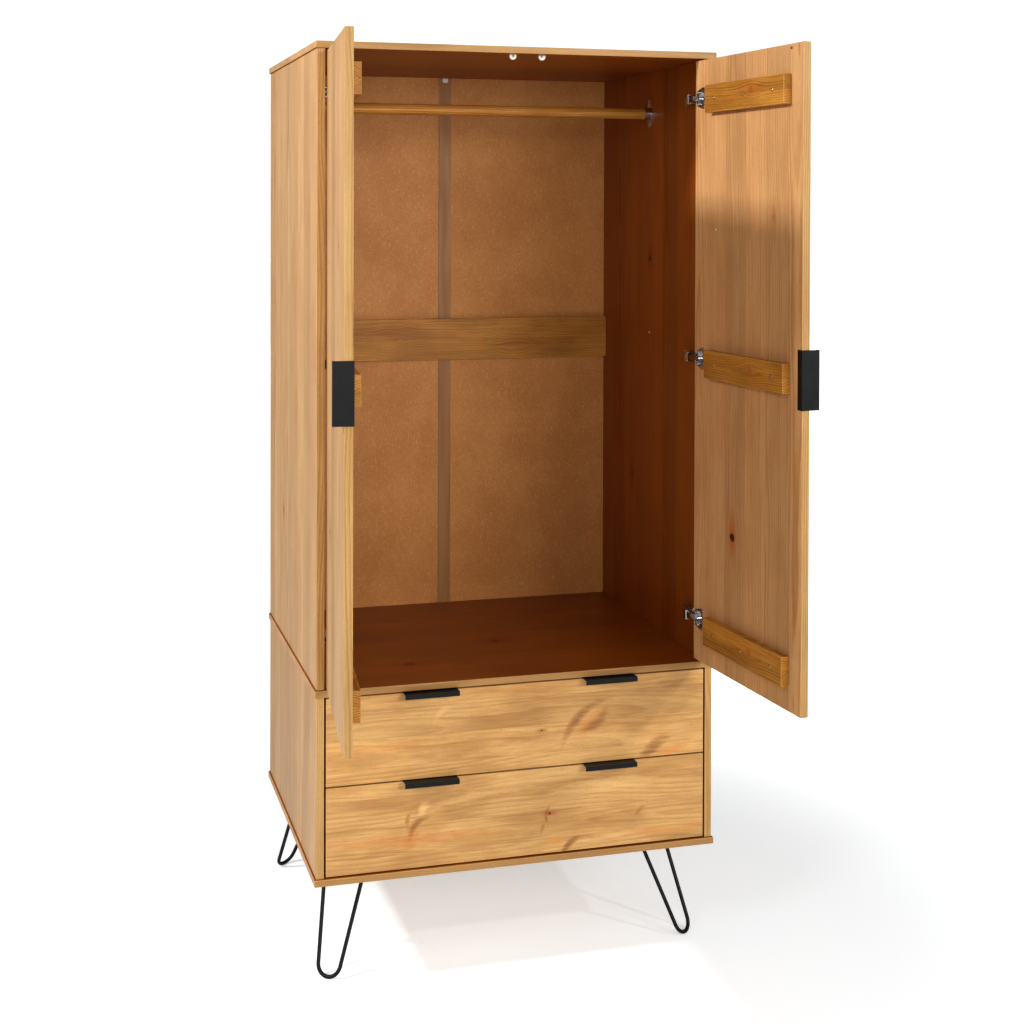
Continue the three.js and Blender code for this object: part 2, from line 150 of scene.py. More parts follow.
def knot_group():
    """One knot: how far it pushes the rings aside, its dark heart, and the stained wood round it."""
    inputs = {
        "Place": (VECTOR, (0, 0, 0)),
        "Centre": (VECTOR, (0, 0, 0)),
        "Size": (FLOAT, 0.01),
        "Push": (FLOAT, 0.8),
    }
    outputs = {"Bend": FLOAT, "Heart": FLOAT, "Stain": FLOAT}
    group, t, given, result = new_group("knot", inputs, outputs)
    offset = t.vector("SUBTRACT", given["Place"], given["Centre"])
    wobble = t.noise(t.scaled(given["Place"], 60, 60, 20), detail=1.0)
    along, across, _ = t.split(offset)
    along = t.math("DIVIDE", along, given["Size"])
    across = t.math("DIVIDE", across, given["Size"])

    def falloff(length, width):
        a = t.math("POWER", t.math("DIVIDE", along, length), 2)
        b = t.math("POWER", t.math("DIVIDE", across, width), 2)
        return t.math("EXPONENT", t.math("MULTIPLY", t.math("ADD", a, b), -1.0))

    push = t.math("MULTIPLY", falloff(5.5, 3.0), given["Push"])
    moved = t.math("MULTIPLY", t.math("MULTIPLY", across, given["Size"]), push)
    t.feed(result["Bend"], t.math("MULTIPLY", moved, -1.0))
    distance = t.math("SQRT", t.math("ADD", t.math("POWER", along, 2), t.math("POWER", across, 2)))
    distance = t.math("ADD", distance, t.math("MULTIPLY", t.math("SUBTRACT", wobble, 0.5), 0.9))
    t.feed(result["Heart"], t.ramp(distance, 0.7, 1.1, out=(1.0, 0.0)))
    t.feed(result["Stain"], falloff(5.0, 1.7))
    return group


def figure_group():
    """Wood as staves glued side by side, each cut from its own log, so that its faces show long
    arched figure and its ends show arcs. Place is in metres: along, across and into the board."""
    inputs = {
        "Place": (VECTOR, (0, 0, 0)),
        "Bend": (FLOAT, 0.0),
        "Stave": (FLOAT, 0.09),
        "Seed": (FLOAT, 0.0),
        "Ring": (FLOAT, 0.005),
        "Arch": (FLOAT, 1.0),
    }
    outputs = {"Late": FLOAT, "Tone": FLOAT, "Cloud": FLOAT, "Fibre": FLOAT, "Pore": FLOAT,
               "Joint": FLOAT}
    group, t, given, result = new_group("figure", inputs, outputs)
    along, across, into = t.split(given["Place"])

    count = t.math("ADD", t.math("DIVIDE", across, given["Stave"]), given["Seed"])
    index = t.math("FLOOR", count)
    within = t.math("SUBTRACT", t.math("SUBTRACT", count, index), 0.5)
    local = t.math("MULTIPLY", within, given["Stave"])
    identity = t.math("ADD", t.math("MULTIPLY", index, 7.31), given["Seed"])
    first, second, third = t.random(identity)

    # The log's heart: how far aside, how deep, and how it leans and wanders along the stave.
    drift = t.combine(t.math("MULTIPLY", along, 1.6), identity, 0.0)
    aside = t.math("MULTIPLY", t.math("SUBTRACT", first, 0.5), t.math("MULTIPLY", given["Stave"], 2.0))
    wander = t.math("MULTIPLY", t.math("SUBTRACT", t.noise(drift, detail=1.5), 0.5), 0.05)
    lateral = t.math("ADD", t.math("SUBTRACT", local, aside), t.math("ADD", wander, given["Bend"]))
    deep = t.math("ADD", t.math("MULTIPLY", second, 0.05), 0.018)
    lean = t.math("MULTIPLY", t.math("SUBTRACT", third, 0.5), t.math("MULTIPLY", along, 0.035))
    swell_place = t.combine(t.math("MULTIPLY", along, 2.3), t.math("ADD", identity, 40.0), 0.0)
    swell = t.math("MULTIPLY", t.math("SUBTRACT", t.noise(swell_place, detail=1.0), 0.5), 0.03)
    arch = t.math("MULTIPLY", t.math("ADD", lean, swell), given["Arch"])
    depth = t.math("ADD", t.math("ADD", into, deep), arch)
    radius = t.math("SQRT", t.math("ADD", t.math("POWER", lateral, 2), t.math("POWER", depth, 2)))
    ragged = t.noise(t.scaled(given["Place"], 7, 60, 60), detail=3.0, roughness=0.6)
    radius = t.math("ADD", radius, t.math("MULTIPLY", t.math("SUBTRACT", ragged, 0.5), 0.0035))

    # A year's ring darkens slowly and ends at a sharper edge; some years are darker than others.
    years = t.math("DIVIDE", radius, given["Ring"])
    year = t.math("FLOOR", years)
    phase = t.math("SUBTRACT", years, year)
    rise = t.ramp(phase, 0.25, 0.9)
    fall = t.ramp(phase, 0.9, 1.0, out=(1.0, 0.0))
    strength = t.ramp(t.random(t.math("ADD", year, identity))[0], 0.0, 1.0, False, (0.25, 1.0))
    t.feed(result["Late"], t.math("MULTIPLY", t.math("MULTIPLY", rise, fall), strength))

    t.feed(result["Tone"], t.random(t.math("ADD", identity, 19.7))[1])
    cloud = t.noise(t.scaled(given["Place"], 5, 16, 16), detail=3.0, roughness=0.55, w=identity)
    t.feed(result["Cloud"], cloud)
    fine = t.noise(t.scaled(given["Place"], 26, 900, 900), detail=2.0, roughness=0.6)
    coarse = t.noise(t.scaled(given["Place"], 8, 240, 240), detail=3.0, roughness=0.6)
    t.feed(result["Fibre"], t.math("MULTIPLY", t.math("ADD", fine, coarse), 0.5))
    pores = t.noise(t.scaled(given["Place"], 130, 700, 700), detail=0.0)
    t.feed(result["Pore"], t.ramp(pores, 0.7, 0.8))
    edge = t.math("MULTIPLY", t.math("SUBTRACT", 0.5, t.math("ABSOLUTE", within)), given["Stave"])
    t.feed(result["Joint"], t.ramp(edge, 0.0, 0.0007, out=(1.0, 0.0)))
    return group


def arris_group():
    """How near a point is to the sharp edges of its board. Place is from the board's middle."""
    inputs = {
        "Place": (VECTOR, (0, 0, 0)),
        "Half": (VECTOR, (1, 1, 1)),
    }
    group, t, given, result = new_group("arris", inputs, {"Highlight and wear": FLOAT})
    offset = t.vector("ABSOLUTE", given["Place"])
    a, b, c = t.split(t.vector("SUBTRACT", given["Half"], offset))
    middle = t.math("MAXIMUM", t.math("MINIMUM", a, b), t.math("MINIMUM", t.math("MAXIMUM", a, b), c))
    ragged = t.noise(t.scaled(given["Place"], 90, 90, 90), detail=2.0)
    reach = t.math("ADD", middle, t.math("MULTIPLY", t.math("SUBTRACT", ragged, 0.5), 0.002))
    t.feed(result["Highlight and wear"], t.ramp(reach, 0.0004, 0.0026, out=(1.0, 0.0)))
    return group


def mark_group():
    """One brush of darker or paler wood, such as a branch leaves: a soft, curved stroke."""
    inputs = {
        "Place": (VECTOR, (0, 0, 0)),
        "Centre": (VECTOR, (0, 0, 0)),
        "Half length": (FLOAT, 0.02),
        "Half width": (FLOAT, 0.005),
        "Angle": (FLOAT, 0.0),
        "Curve": (FLOAT, 0.0),
    }
    group, t, given, result = new_group("mark", inputs, {"Amount": FLOAT})
    ragged = t.noise(t.scaled(given["Place"], 22, 150, 150), detail=4.0, roughness=0.65)
    offset = t.vector("SUBTRACT", given["Place"], given["Centre"])
    turn = t.add("ShaderNodeVectorRotate", {"Vector": offset}, rotation_type="Z_AXIS")
    t.feed(turn.inputs["Angle"], t.math("MULTIPLY", given["Angle"], -1.0))
    along, across, _ = t.split(turn.outputs[0])
    along = t.math("DIVIDE", along, given["Half length"])
    square = t.math("POWER", along, 2)
    bow = t.math("MULTIPLY", t.math("MULTIPLY", square, given["Curve"]), given["Half length"])
    across = t.math("DIVIDE", t.math("ADD", across, bow), given["Half width"])
    far = t.math("ADD", square, t.math("POWER", across, 2))
    far = t.math("ADD", far, t.math("MULTIPLY", t.math("SUBTRACT", ragged, 0.5), 5.0))
    t.feed(result["Amount"], t.ramp(far, -1.0, 2.4, out=(1.0, 0.0)))
    return group


KNOT, MARK, FIGURE, ARRIS = knot_group(), mark_group(), figure_group(), arris_group()


def new_material(name):
    """A material with a Principled shader. Returns it, its builder and the shader's sockets."""
    material = bpy.data.materials.new(name)
    material.use_nodes = True
    shader = material.node_tree.nodes["Principled BSDF"]
    return material, Tree(material.node_tree), shader.inputs


def bump(t, shader, height, distance, strength=1.0):
    inputs = {"Height": height, "Distance": distance, "Strength": strength}
    t.feed(shader["Normal"], t.add("ShaderNodeBump", inputs).outputs[0])


# ---------------------------------------------------------------- wood

# Colours of the pale early wood and the dark late wood, how cloudy the stain is, how strongly the
# rings and the fibres show, and how wide the glued staves are, by kind of board.
WOODS = {
    "outside": {
        "early": srgb(210, 170, 123), "late": srgb(162, 110, 64),
        "cloud": 0.28, "rings": 0.6, "fibre": 0.1, "stave": 0.075,
    },
    "drawer": {
        "early": srgb(225, 178, 114), "late": srgb(172, 120, 64),
        "cloud": 0.65, "rings": 0.45, "fibre": 0.16, "stave": 0.058,
    },
    "batten": {
        "early": srgb(204, 147, 63), "late": srgb(128, 72, 20),
        "cloud": 0.5, "rings": 0.75, "fibre": 0.2, "stave": 0.2,
    },
}

# What a tint multiplies the wood's colour by: painted shade on the faces inside the wardrobe,
# painted light on the doors' inner faces, a yellower stain on the boards' front edges, and
# painted shade on the drawer fronts' edges, which lie in the shade of the gaps.
INSIDE_SHADE = (0.52, 0.24, 0.032, 1.0)
WARM_PAINTED_LIGHT = (1.04, 0.97, 0.88, 1.0)
YELLOW = (0.87, 0.86, 0.66, 1.0)
GAP_SHADE = (0.4, 0.3, 0.2, 1.0)

# The wood round a knot, a knot's heart, a sharp edge paled by painted highlight and by wear,
# and the strokes on the drawers' fronts.
STAIN = srgb(178, 98, 44)
HEART = srgb(70, 30, 14)
EDGE_HIGHLIGHT_AND_WEAR = srgb(226, 180, 112)
BROWN = srgb(146, 92, 40)
RED = srgb(200, 122, 60)
PALE = srgb(240, 196, 130)
ORANGE = srgb(222, 148, 76)

# Strokes on the drawers' fronts: how far right of and above the middle, half length, half width,
# degrees from level, curve, colour and strength.
UPPER_MARKS = (
    (0.06, -0.04, 0.16, 0.012, 1, 0.03, PALE, 0.5),
    (-0.3, -0.02, 0.1, 0.008, 2, 0.0, ORANGE, 0.35),
    (-0.165, 0.045, 0.02, 0.005, 30, 0.3, PALE, 0.6),
    (0.35, 0.065, 0.045, 0.009, 3, 0.0, BROWN, 0.45),
    (0.15, 0.0, 0.035, 0.012, 42, 0.2, ORANGE, 0.6),
    (0.125, 0.01, 0.05, 0.008, 43, 0.2, BROWN, 0.8),
    (0.165, -0.005, 0.03, 0.01, 40, -0.2, BROWN, 0.7),
    (0.335, -0.075, 0.035, 0.009, 20, 0.0, ORANGE, 0.8),
    (0.29, -0.065, 0.035, 0.01, 35, 0.1, BROWN, 0.8),
    (-0.04, 0.0, 0.006, 0.002, 45, 0.0, RED, 0.7),
)
LOWER_MARKS = (
    (-0.05, 0.055, 0.17, 0.012, 9, 0.06, PALE, 0.55),
    (0.185, 0.04, 0.09, 0.013, 1, 0.02, PALE, 0.6),
    (-0.23, -0.03, 0.17, 0.011, -1, 0.0, RED, 0.5),
    (-0.23, -0.03, 0.02, 0.012, 60, 0.0, RED, 0.6),
    (-0.205, 0.03, 0.014, 0.008, 60, 0.3, PALE, 0.8),
    (-0.22, 0.0, 0.024, 0.006, 47, 0.3, BROWN, 0.9),
    (-0.237, 0.01, 0.015, 0.004, 80, 0.2, BROWN, 0.6),
    (0.055, -0.01, 0.015, 0.0028, 85, 0.2, BROWN, 0.7),
    (0.047, -0.035, 0.009, 0.003, 70, 0.0, BROWN, 0.5),
    (0.26, -0.017, 0.013, 0.004, 40, 0.2, BROWN, 0.5),
    (0.32, -0.063, 0.09, 0.009, 1, 0.0, ORANGE, 0.5),
    (0.165, -0.067, 0.06, 0.006, 3, 0.0, PALE, 0.6),
    (0.075, -0.063, 0.02, 0.008, 10, 0.0, ORANGE, 0.7),
    (0.105, -0.072, 0.02, 0.006, 40, 0.2, BROWN, 0.9),
)


def span(node, axes):
    """The lowest and highest place of a CAD node along each of three directions."""
    corners = [v.co for v in nodes[node].data.vertices]
    low = [min(corner.dot(axis) for corner in corners) for axis in axes]
    high = [max(corner.dot(axis) for corner in corners) for axis in axes]
    return Vector(low), Vector(high)


def wood(name, kind, node, grain, across, seed, knots=(), marks=(), ring=0.0045, arch=1.0, stains_and_painted_light=()):
    """Wood for one board, whose grain runs along one direction. A knot is (how far along and
    across the board from its middle, size, push, how dark). A mark is (how far along and across,
    half length, half width, degrees, curve, colour, strength). A tint is (a direction, a colour
    that multiplies the wood's colour on the faces that look that way); some tints are real
    stains, others are painted shade and painted light for how light falls on those faces."""
    look = WOODS[kind]
    grain, across = Vector(grain), Vector(across)
    into = grain.cross(across)
    low, high = span(node, (grain, across, into))
    middle, half = (low + high) / 2, (high - low) / 2

    material, t, shader = new_material(name)
    here = t.add("ShaderNodeTexCoord").outputs["Object"]
    place = t.combine(t.dot(here, grain), t.dot(here, across), t.dot(here, into))
    place = t.vector("SUBTRACT", place, tuple(middle))

    bend, hearts, halos = 0.0, 0.0, 0.0
    for along, aside, size, push, dark in knots:
        inputs = {"Place": place, "Centre": (along, aside, 0.0), "Size": size, "Push": push}
        knot = t.add("ShaderNodeGroup", inputs, node_tree=KNOT)
        bend = t.math("ADD", bend, knot.outputs["Bend"])
        hearts = t.math("MAXIMUM", hearts, t.math("MULTIPLY", knot.outputs["Heart"], dark))
        halos = t.math("MAXIMUM", halos, t.math("MULTIPLY", knot.outputs["Stain"], min(1, dark + 0.35)))

    inputs = {"Place": place, "Bend": bend, "Stave": look["stave"], "Seed": seed, "Ring": ring,
              "Arch": arch}
    made = t.add("ShaderNodeGroup", inputs, node_tree=FIGURE).outputs
    inputs = {"Place": place, "Half": tuple(half)}
    edge_highlight_and_wear = t.add("ShaderNodeGroup", inputs, node_tree=ARRIS).outputs["Highlight and wear"]

    colour = t.mix(t.math("MULTIPLY", made["Late"], look["rings"]), look["early"], look["late"])
    cloud = t.ramp(made["Cloud"], 0.35, 0.7)
    colour = t.mix(t.math("MULTIPLY", cloud, look["cloud"]), colour, look["late"])
    tone = t.ramp(made["Tone"], 0.0, 1.0, False, (0.88, 1.1))
    fibre = look["fibre"]
    streak = t.ramp(made["Fibre"], 0.3, 0.7, False, (1 - 1.2 * fibre, 1 + fibre))
    shade = t.math("MULTIPLY", tone, streak)
    colour = t.mix(1.0, colour, t.combine(shade, shade, shade), "MULTIPLY")
    for along, aside, length, width, degrees, curve, tint, strength in marks:
        inputs = {"Place": place, "Centre": (along, aside, 0.0), "Half length": length,
                  "Half width": width, "Angle": math.radians(degrees), "Curve": curve}
        mark = t.add("ShaderNodeGroup", inputs, node_tree=MARK)
        colour = t.mix(t.math("MULTIPLY", mark.outputs["Amount"], strength), colour, tint)
    colour = t.mix(t.math("MULTIPLY", halos, 0.8), colour, STAIN)
    colour = t.mix(hearts, colour, HEART)
    colour = t.mix(t.math("MULTIPLY", made["Pore"], 0.35), colour, look["late"])
    colour = t.mix(t.math("MULTIPLY", made["Joint"], 0.35), colour, look["late"])
    # Paler sharp edges: painted highlight where the rounded edges catch light, and wear, which also
    # roughens them below.
    colour = t.mix(t.math("MULTIPLY", edge_highlight_and_wear, 0.22), colour, EDGE_HIGHLIGHT_AND_WEAR)
    normal = t.add("ShaderNodeTexCoord").outputs["Normal"]
    # Tint faces by which way they look: real stains, and painted shade and painted light.
    for way, tint in stains_and_painted_light:
        tint_mask = t.ramp(t.dot(normal, way), 0.6, 0.9)
        colour = t.mix(tint_mask, colour, t.mix(1.0, colour, tint, "MULTIPLY"))
    t.feed(shader["Base Color"], colour)

    gloss = t.ramp(made["Fibre"], 0.2, 0.8, False, (0.36, 0.5))
    t.feed(shader["Roughness"], t.math("ADD", gloss, t.math("MULTIPLY", edge_highlight_and_wear, 0.12)))
    height = t.math("ADD", t.math("MULTIPLY", made["Fibre"], 0.5), t.math("MULTIPLY", made["Late"], 0.3))
    height = t.math("SUBTRACT", height, t.math("MULTIPLY", made["Pore"], 0.8))
    height = t.math("SUBTRACT", height, t.math("MULTIPLY", made["Joint"], 0.6))
    bump(t, shader, height, 0.00012)
    shader["Specular IOR Level"].default_value = 0.26
    shader["Coat Weight"].default_value = 0.08
    shader["Coat Roughness"].default_value = 0.3
    return material


# ---------------------------------------------------------------- other materials

def hardboard():
    """Pressed brown fibre: an even ground, faint clouds, and short pale fibres lying every way."""
    material, t, shader = new_material("hardboard")
    here = t.add("ShaderNodeTexCoord").outputs["Object"]
    clouds = t.noise(here, scale=9.0, detail=4.0, roughness=0.6)
    grit = t.noise(here, scale=420.0, detail=2.0, roughness=0.7)
    level = t.noise(t.scaled(here, 110.0, 110.0, 420.0), detail=1.0)
    upright = t.noise(t.scaled(here, 420.0, 420.0, 110.0), detail=1.0)
    fibres = t.math("MAXIMUM", t.ramp(level, 0.63, 0.74), t.ramp(upright, 0.63, 0.74))
    colour = t.mix(t.ramp(clouds, 0.3, 0.7), srgb(214, 154, 86), srgb(200, 138, 72))
    colour = t.mix(t.math("MULTIPLY", t.ramp(grit, 0.35, 0.7), 0.4), colour, srgb(168, 106, 56))
    colour = t.mix(t.math("MULTIPLY", fibres, 0.45), colour, srgb(236, 184, 126))
    t.feed(shader["Base Color"], colour)
    t.feed(shader["Roughness"], t.ramp(grit, 0.3, 0.7, False, (0.45, 0.6)))
    bump(t, shader, grit, 0.0001)
    shader["Specular IOR Level"].default_value = 0.35
    return material


def powder_coat():
    """Satin black paint on steel, with the fine ripple of baked powder."""
    material, t, shader = new_material("black_steel")
    here = t.add("ShaderNodeTexCoord").outputs["Object"]
    ripple = t.noise(here, scale=900.0, detail=2.0)
    dust = t.noise(here, scale=60.0, detail=3.0)
    t.feed(shader["Base Color"], t.mix(t.ramp(dust, 0.4, 0.8), srgb(13, 13, 14), srgb(20, 20, 22)))
    t.feed(shader["Roughness"], t.ramp(dust, 0.3, 0.7, False, (0.38, 0.52)))
    bump(t, shader, ripple, 0.00006)
    shader["Specular IOR Level"].default_value = 0.3
    return material


def plated(name, colour, roughness):
    """Plated steel, faintly drawn along one way, with slight tarnish."""
    material, t, shader = new_material(name)
    here = t.add("ShaderNodeTexCoord").outputs["Object"]
    drawn = t.noise(t.scaled(here, 1500, 1500, 120), detail=1.0)
    tarnish = t.noise(here, scale=130.0, detail=3.0)
    dull = tuple(channel * 0.72 for channel in colour[:3]) + (1.0,)
    t.feed(shader["Base Color"], t.mix(t.ramp(tarnish, 0.45, 0.8), colour, dull))
    t.feed(shader["Roughness"], t.ramp(tarnish, 0.3, 0.75, False, (roughness, roughness + 0.14)))
    bump(t, shader, drawn, 0.00002)
    shader["Metallic"].default_value = 1.0
    return material


def plastic(name, light, dark, roughness):
    material, t, shader = new_material(name)
    here = t.add("ShaderNodeTexCoord").outputs["Object"]
    fine = t.noise(here, scale=500.0, detail=2.0)
    broad = t.noise(t.scaled(here, 60.0, 60.0, 4.0), detail=2.0)
    t.feed(shader["Base Color"], t.mix(t.ramp(broad, 0.3, 0.7), light, dark))
    t.feed(shader["Roughness"], t.ramp(broad, 0.3, 0.7, False, (roughness, roughness + 0.12)))
    bump(t, shader, fine, 0.00004)
    return material


HARDBOARD = hardboard()
BLACK = powder_coat()
NICKEL = plated("nickel", srgb(198, 198, 200), 0.1)
BRASS = plated("brass_plate", srgb(206, 184, 130), 0.24)
WHITE = plastic("white_plastic", srgb(244, 244, 240), srgb(232, 232, 226), 0.3)
STRIP = plastic("strip_plastic", srgb(172, 126, 70), srgb(158, 110, 58), 0.42)
DARK = plastic("dark_plastic", srgb(128, 84, 46), srgb(104, 66, 36), 0.4)


# ---------------------------------------------------------------- dressing the CAD nodes

def dress(node, material, round_off):
    """Gives a CAD node its material and rounds its edges off."""
    piece = nodes[node]
    piece.data.materials.clear()
    piece.data.materials.append(material)
    weld = piece.modifiers.new("weld", "WELD")
    weld.merge_threshold = 0.01 * MM
    edges = piece.modifiers.new("edges", "BEVEL")
    edges.width = round_off
    edges.segments = 3
    edges.limit_method = "ANGLE"
    edges.angle_limit = math.radians(35)
    piece.modifiers.new("normals", "WEIGHTED_NORMAL")


def door_axes(side):
    """A door's directions at rest: across it from its hinges, and out of its inner face."""
    joint = joints[f"{side}_door_hinge"]
    opened = math.radians(-joint["range_deg"][0])
    turn = Matrix.Rotation(HANDS[side] * opened, 3, "Z")
    return turn @ (X * -HANDS[side]), turn @ Y


def dress_carcass():
    panels = {
        "top_panel": (11.0, (), -Z),
        "divider_panel": (23.0, ((0.02, -0.05, 0.012, 0.8, 0.5), (-0.2, -0.17, 0.01, 0.9, 0.6)), Z),
        "bottom_panel": (37.0, (), Z),
    }
    for node, (seed, knots, inner) in panels.items():
        # Inside faces get painted shade; front edges get a yellower stain.
        stains_and_painted_light = ((inner, INSIDE_SHADE), (-Y, YELLOW))
        dress(node, wood(node, "outside", node, X, Y, seed, knots, stains_and_painted_light=stains_and_painted_light), 2.2 * MM)
    knots = {
        "upper_side_right": ((0.205, 0.0, 0.007, 0.8, 1.0), (-0.3, 0.1, 0.006, 0.8, 0.6)),
        "upper_side_left": ((-0.35, 0.1, 0.006, 0.8, 0.5),),
    }
    for number, side in enumerate(HANDS):
        for part, seed in (("upper", 41.0), ("lower", 57.0)):
            node = f"{part}_side_{side}"
            board_seed = seed + 9 * number
            # The sides' inner faces get painted shade; front edges get a yellower stain.
            stains_and_painted_light = ((X * -HANDS[side], INSIDE_SHADE), (-Y, YELLOW))
            given = {"knots": knots.get(node, ()), "arch": 0.6, "stains_and_painted_light": stains_and_painted_light}
            dress(node, wood(node, "outside", node, Z, Y, board_seed, **given), 1.2 * MM)
    for node in ("upper_back_left", "upper_back_right", "lower_back_panel"):
        dress(node, HARDBOARD, 0.3 * MM)
    dress("back_joint_strip", STRIP, 0.3 * MM)
    waves = ((-0.14, 0.012, 0.009, 0.9, 0.0), (0.17, -0.02, 0.011, 0.9, 0.0))
    look = wood("mid_rail", "batten", "back_mid_rail", X, Z, 71.0, waves, ring=0.0038, arch=1.7)
    dress("back_mid_rail", look, 1.5 * MM)
    rail = wood("rail", "batten", "hanging_rail", X, Z, 77.0, (), arch=0.4)
    dress("hanging_rail", rail, 0.8 * MM)
    for side in HANDS:
        dress(f"rail_socket_{side}", NICKEL, 0.3 * MM)
        node = f"drawer_cleat_{side}"
        dress(node, wood(node, "batten", node, Y, Z, 83.0), 1.0 * MM)
        for end in ("front", "rear"):
            dress(f"{end}_leg_{side}", BLACK, 0.4 * MM)


def dress_doors():
    knots = {
        "right": ((-0.34, -0.045, 0.0085, 0.75, 1.0), (0.3, 0.1, 0.006, 0.9, 0.15)),
        "left": ((0.25, 0.08, 0.006, 0.8, 0.4), (-0.3, -0.1, 0.007, 0.8, 0.4)),
    }
    for side in HANDS:
        outwards, inwards = door_axes(side)
        node = f"{side}_door"
        seed = 101.0 if side == "left" else 113.0
        # Inner faces get a warm tint of painted light; free edges get a yellower stain.
        stains_and_painted_light = ((inwards, WARM_PAINTED_LIGHT), (outwards, YELLOW))
        look = wood(node, "outside", node, Z, outwards, seed, knots[side], arch=0.5, stains_and_painted_light=stains_and_painted_light)
        dress(node, look, 1.2 * MM)
        dress(f"{side}_door_handle", BLACK, 0.5 * MM)
        for number, level in enumerate(LEVELS):
            node = f"{side}_door_batten_{level}"
            seed = 127.0 + 5 * number + (3 if side == "left" else 0)
            wave = ((0.03, 0.005, 0.008, 0.9, 0.2),)
            look = wood(node, "batten", node, outwards, Z, seed, wave)
            dress(node, look, 1.5 * MM)
            dress(f"{side}_hinge_cup_{level}", NICKEL, 0.25 * MM)
            dress(f"{side}_hinge_arm_{level}", NICKEL, 0.3 * MM)
        dress(f"{side}_hinge_link_middle", NICKEL, 0.1 * MM)


def dress_drawers():
    knots = {
        "upper": ((0.045, -0.012, 0.0022, 0.8, 0.9),),
        "lower": ((0.062, -0.006, 0.003, 0.9, 0.9),),
    }
    marks = {"upper": UPPER_MARKS, "lower": LOWER_MARKS}
    # The fronts' side and bottom edges get painted shade from the gaps around them.
    stains_and_painted_light = [(way, GAP_SHADE) for way in (X, -X, -Z)]
    for name, seed in (("upper", 151.0), ("lower", 163.0)):
        node = f"{name}_drawer_front"
        given = {"knots": knots[name], "marks": marks[name], "stains_and_painted_light": stains_and_painted_light}
        look = wood(node, "drawer", node, X, Z, seed, ring=0.0055, arch=1.6, **given)
        dress(node, look, 1.2 * MM)
        for side in HANDS:
            node = f"{name}_drawer_side_{side}"
            dress(node, wood(node, "batten", node, Y, Z, seed + 3), 1.0 * MM)
            dress(f"{name}_drawer_handle_{side}", BLACK, 0.5 * MM)
        node = f"{name}_drawer_back"
        dress(node, wood(node, "batten", node, X, Z, seed + 5), 1.0 * MM)
        dress(f"{name}_drawer_bottom", HARDBOARD, 0.3 * MM)


# ---------------------------------------------------------------- made pieces

def add_piece(name, mesh, material, body):
    """Puts a finished mesh in the scene, smoothly shaded but for its sharp edges."""
    mesh.materials.append(material)
    for face in mesh.polygons:
        face.use_smooth = True
    piece = bpy.data.objects.new(name, mesh)
    bpy.context.scene.collection.objects.link(piece)
    piece.modifiers.new("normals", "WEIGHTED_NORMAL")
    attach(piece, body)


def frame_at(place, outwards, up=Z):
    """A matrix whose z axis points out of a face and whose y axis points up."""
    normal = outwards.normalized()
    side = up.cross(normal)
    if side.length < 1e-6:
        side = Y.cross(normal)
    side.normalize()
    top = normal.cross(side)
    return Matrix.Translation(place) @ Matrix((side, top, normal)).transposed().to_4x4()


def turned(profile, segments, name):
    """A closed solid turned about z from (radius, height) points that start and end on the axis."""
    build = bmesh.new()
    rings = []
    for radius, height in profile:
        if radius < 1e-9:
            rings.append([build.verts.new((0, 0, height))])
            continue
        angles = [2 * math.pi * k / segments for k in range(segments)]
        points = [(radius * math.cos(a), radius * math.sin(a), height) for a in angles]
        rings.append([build.verts.new(point) for point in points])
    for lower, upper in zip(rings, rings[1:]):
        for k in range(segments):
            after = (k + 1) % segments
            if len(lower) == 1:
                build.faces.new((lower[0], upper[after], upper[k]))
            elif len(upper) == 1:
                build.faces.new((lower[k], lower[after], upper[0]))
            else:
                build.faces.new((lower[k], lower[after], upper[after], upper[k]))
    bmesh.ops.recalc_face_normals(build, faces=build.faces)
    mesh = bpy.data.meshes.new(name)
    build.to_mesh(mesh)
    build.free()
    return mesh


def cross_cut(mesh, width, length, depth, top):
    """Sinks a cross-head driver's recess into the top of a turned screw head."""
    outline = []
    for quarter in range(4):
        turn = Matrix.Rotation(quarter * math.pi / 2, 3, "Z")
        for corner in ((length, -width), (length, width), (width, width)):
            outline.append(turn @ Vector((*corner, 0)))
    blade = bpy.data.meshes.new("recess")
    cutter = bmesh.new()
    low = [cutter.verts.new((p.x * 0.45, p.y * 0.45, top - depth)) for p in outline]
    high = [cutter.verts.new((p.x * 1.15, p.y * 1.15, top + depth)) for p in outline]
    cutter.faces.new(low[::-1])
    cutter.faces.new(high)
    for k in range(len(outline)):
        after = (k + 1) % len(outline)
        cutter.faces.new((low[k], low[after], high[after], high[k]))
    bmesh.ops.recalc_face_normals(cutter, faces=cutter.faces)
    cutter.to_mesh(blade)
    cutter.free()
    head = bpy.data.objects.new("head", mesh)
    tool = bpy.data.objects.new("tool", blade)
    for thing in (head, tool):
        bpy.context.scene.collection.objects.link(thing)
    boolean = head.modifiers.new("recess", "BOOLEAN")
    boolean.object = tool
    boolean.operation = "DIFFERENCE"
    boolean.solver = "EXACT"
    graph = bpy.context.evaluated_depsgraph_get()
    result = bpy.data.meshes.new_from_object(head.evaluated_get(graph))
    bpy.data.objects.remove(head)
    bpy.data.objects.remove(tool)
    bpy.data.meshes.remove(blade)
    return result


def screw_head(radius):
    """A low domed head with a cross recess, standing on z = 0."""
    rise = radius * 0.34
    steps = 5
    dome = []
    for k in range(steps + 1):
        angle = (math.pi / 2) * k / steps
        dome.append((radius * math.cos(angle), rise * (0.25 + 0.75 * math.sin(angle))))
    profile = [(0, 0), (radius * 0.96, 0), (radius, rise * 0.12)] + dome[:-1] + [(0, rise)]
    head = turned(profile, 24, "screw_head")
    return cross_cut(head, radius * 0.13, radius * 0.62, rise * 0.75, rise)


# The heads made so far, by radius.
SCREWS = {}

